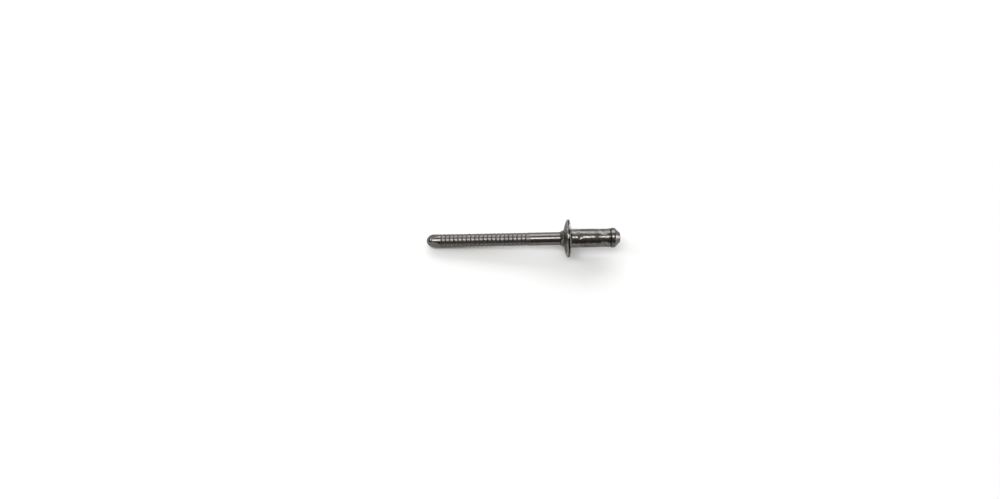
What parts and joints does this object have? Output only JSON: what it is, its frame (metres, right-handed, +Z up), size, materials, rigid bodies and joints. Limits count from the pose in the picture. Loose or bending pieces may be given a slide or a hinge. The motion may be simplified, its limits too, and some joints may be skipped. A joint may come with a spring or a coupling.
{
  "type": "pop rivet",
  "caption": "Domed-flange blind rivet in plated steel, with dents swaged into its sleeve and an annular-grooved mandrel that is pinched to a point.",
  "frame": {"origin": "centre of the bounding box on the surface that the rivet lies on", "axes": "+X from the stem's pinched tip to the blind end as seen from above, +Z up; the rivet's own axis rises 5.3 degrees towards +X, because it lies on its flange rim and its tip"},
  "size_m": [0.0454, 0.009, 0.009],
  "materials": {
    "body_steel": "zinc-plated cold-formed steel, bright on the sleeve and duller on the flange",
    "mandrel_steel": "zinc-plated drawn steel wire, bright on the plain shank and satin on the pull grooves"
  },
  "bodies": {
    "root": {"rivet_body": "body_steel", "mandrel": "mandrel_steel"}
  },
  "joints": []
}
